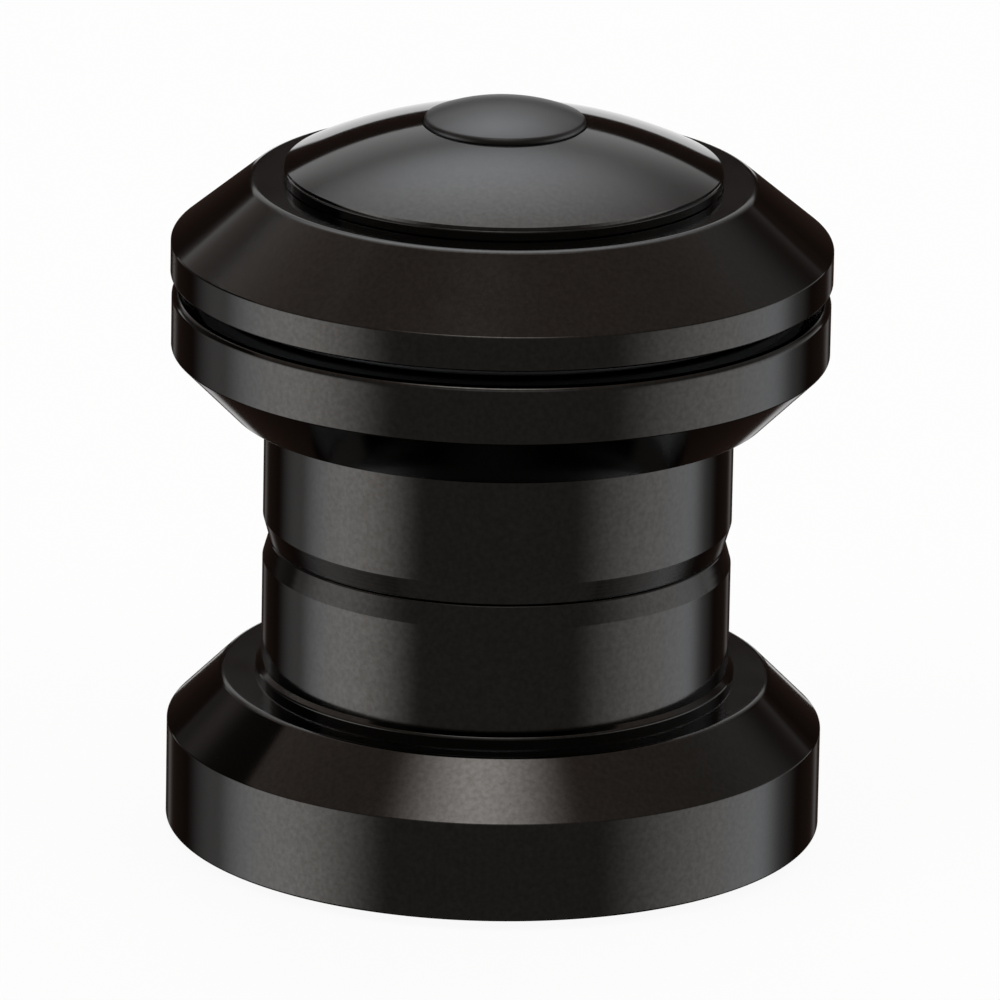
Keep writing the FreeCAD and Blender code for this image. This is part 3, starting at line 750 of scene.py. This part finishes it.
wear(black_anodised, "black_anodised_aluminium", lower_cup.name, upper_cup.name, cover.name)
wear(cap_anodised, "black_anodised_aluminium", cap.name)

# %% [markdown]
# ## The bolt's thread
#
# The solids leave the cap bolt's shank plain. Here the whole bolt is built again as one closed surface:
# a grid of rows from the tip up to the head and down into the socket, and columns round the axis. The
# thread comes from a phase that grows by one for each pitch of height and for each turn round the axis,
# so its crest climbs as a helix while the grid itself stays plain. The socket is the same grid with its
# radius bent to a hexagon. The thread fades out where the shank is plain and at the tip's chamfer.

# %% One closed surface of revolution with bends, and the bolt made of it
BOLT_COLUMNS = 96
ROWS_PER_TURN = 12
THREAD_PITCH = 1.0
THREAD_DEPTH = 0.61
SHANK_RADIUS = 3.0
TIP_CHAMFER = 0.8
PLAIN_SHANK = 6.0
HEAD_BEVEL = 0.1
HEAD_ROUND = 0.4
HEAD_ROUND_ROWS = 6
SOCKET_ACROSS = 5.0
SOCKET_DEPTH = 2.4
SOCKET_POINT = 0.9
POINT_RINGS = ((1.0, 0.0), (0.1, 0.9), (0.01, 1.0))


def closed_grid(name, radius, height):
    """Mesh object from rows of (radius, height) round Z, in millimetres, with both ends closed.

    Row i and column j give the point (r cos a, r sin a, z) with a = 2 pi j / columns. Two more points on
    the axis, at the first and the last row's height, close the ends with fans.
    """
    rows, columns = radius.shape
    a = np.arange(columns) * 2 * np.pi / columns
    grid = np.stack([radius * np.cos(a), radius * np.sin(a), height], axis=2).reshape(-1, 3)
    ends = np.array([[0, 0, height[0, 0]], [0, 0, height[-1, 0]]])
    first, last = rows * columns, rows * columns + 1
    i = np.arange(rows - 1)[:, None] * columns
    j = np.arange(columns)[None, :]
    k = (j + 1) % columns
    quads = np.stack([i + j, i + k, i + columns + k, i + columns + j], axis=2).reshape(-1, 4)
    top = (rows - 1) * columns
    tip_fan = np.stack([k[0], j[0], np.full(columns, first)], axis=1)
    top_fan = np.stack([top + j[0], top + k[0], np.full(columns, last)], axis=1)
    return surface(name, np.concatenate([grid, ends]), quads.tolist() + tip_fan.tolist() + top_fan.tolist())


def thread(height, a):
    """Share of the thread's depth: 0 on the crest, 1 in the root, from the phase z / pitch - a / (2 pi).

    Over one pitch the crest takes an eighth, the root a quarter, and straight flanks the rest. The
    share is faded out over one pitch at either end of the threaded length.
    """
    phase = np.abs((height / THREAD_PITCH - a / (2 * np.pi)) % 1.0 - 0.5) * 2
    cut = np.clip((phase - 1 / 8) / (5 / 8), 0, 1)
    start = np.clip((height - bolt_tip - TIP_CHAMFER) / THREAD_PITCH, 0, 1)
    end = np.clip((bolt_seat - PLAIN_SHANK - height) / THREAD_PITCH, 0, 1)
    return cut * start * end


def threaded_bolt():
    """The cap bolt: threaded shank, round head, hexagon socket with a drill point.

    A flat-to-flat width w makes the socket's radius w / 2 / cos(b), with b from -30 to 30 degrees across
    each flat. The drill point's rings are shares of its radius and of its depth.
    """
    a = np.arange(BOLT_COLUMNS) * 2 * np.pi / BOLT_COLUMNS
    ones = np.ones(BOLT_COLUMNS)
    shank_start = bolt_tip + TIP_CHAMFER
    turns = (bolt_seat - shank_start) / THREAD_PITCH
    shank = np.linspace(shank_start, bolt_seat, int(turns * ROWS_PER_TURN) + 1)[:, None]
    hexagon = SOCKET_ACROSS / 2 / np.cos((a % (np.pi / 3)) - np.pi / 6)
    bend = np.linspace(0, np.pi / 2, HEAD_ROUND_ROWS)[:, None]
    socket_bottom = head_top - SOCKET_DEPTH
    parts = [
        ((SHANK_RADIUS - TIP_CHAMFER) * ones[None], bolt_tip * ones[None]),
        (SHANK_RADIUS - THREAD_DEPTH * thread(shank, a), shank * ones),
        ((head_radius - HEAD_BEVEL) * ones[None], bolt_seat * ones[None]),
        (head_radius * ones[None], (bolt_seat + HEAD_BEVEL) * ones[None]),
        ((head_radius - HEAD_ROUND + HEAD_ROUND * np.cos(bend)) * ones,
         (head_top - HEAD_ROUND + HEAD_ROUND * np.sin(bend)) * ones),
        (hexagon[None], head_top * ones[None]),
        (hexagon[None], socket_bottom * ones[None]),
        *[(share * SOCKET_ACROSS / 2 * ones[None], (socket_bottom - deep * SOCKET_POINT) * ones[None])
          for share, deep in POINT_RINGS],
    ]
    radius = np.concatenate([r for r, z in parts])
    height = np.concatenate([z for r, z in parts])
    return closed_grid("cap_bolt_threaded", radius, height)


bolt = threaded_bolt()
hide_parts("cap_bolt")
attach(bolt, "steerer_side")
wear(blackened_steel, "blackened_steel", bolt.name)
print(f"bolt: {len(bolt.data.polygons)} faces")

# %% [markdown]
# ## The plug, with a crisp edge
#
# The photograph's plug ends in a tighter shoulder than the solid's: a radius of 0.4 mm, with the same top
# and the same width, so the plug is at most a quarter of a millimetre lower there. Its top is a shallow
# crown that runs into the shoulder, and the two arcs share a tangent where the line through both their
# centres meets them. Below, it has a hollow stub with a ridge that snaps into the cap's counterbore.
# The section stops 0.05 mm short of the axis, so its rows go into the same closed grid as the bolt's,
# whose fans close it above and below. The two rows on the side that joins the last corner to the first
# are cut off.

# %% The plug
PLUG_COLUMNS = 240
CLOSING_ROWS = 2
AXIS_GAP = 0.05
CROWN_RISE = 1.5
SHOULDER_ROUND = 0.4
HOLLOW_ABOVE_SEAT, HOLLOW_CROWN = 0.2, 0.2
STUB_OUTER, STUB_INNER = 5.1, 3.6
STUB_FOOT = 4.95
RIDGE_RADIUS, RIDGE_HEIGHT, RIDGE_ROUND = 5.33, 0.4, 0.15

reach = plug_radius - SHOULDER_ROUND
crown = (reach ** 2 + CROWN_RISE ** 2 - SHOULDER_ROUND ** 2) / (2 * (CROWN_RISE - SHOULDER_ROUND))
turn = math.atan2(crown - CROWN_RISE, reach)
crown_half = (turn + math.pi / 2) / 2
crown_foot = plug_top - CROWN_RISE
shoulder_middle, shoulder_end = [
    (reach + SHOULDER_ROUND * math.cos(a), crown_foot + SHOULDER_ROUND * math.sin(a))
    for a in (turn / 2, turn)]
crown_middle = (crown * math.cos(crown_half), plug_top - crown + crown * math.sin(crown_half))
hollow_top = plug_seat + HOLLOW_ABOVE_SEAT
plug_rows = section([
    (AXIS_GAP, hollow_top + HOLLOW_CROWN),
    (STUB_INNER, hollow_top),
    (STUB_INNER, plug_bottom),
    (STUB_FOOT, plug_bottom),
    (RIDGE_RADIUS, plug_bottom + RIDGE_HEIGHT, RIDGE_ROUND),
    (STUB_OUTER, plug_bottom + 2 * RIDGE_HEIGHT),
    (STUB_OUTER, plug_seat),
    (plug_radius, plug_seat),
    (plug_radius, crown_foot),
    (*shoulder_end, 0, *shoulder_middle),
    (AXIS_GAP, plug_top, 0, *crown_middle)])
plug_rows = plug_rows[CLOSING_ROWS:, :, None] * np.ones(PLUG_COLUMNS)
plug = closed_grid("cap_plug_turned", plug_rows[:, 0], plug_rows[:, 1])
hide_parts("cap_plug")
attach(plug, "steerer_side")
wear(plug_rubber, "plug_rubber", plug.name)
print(f"plug: {len(plug.data.polygons)} faces")
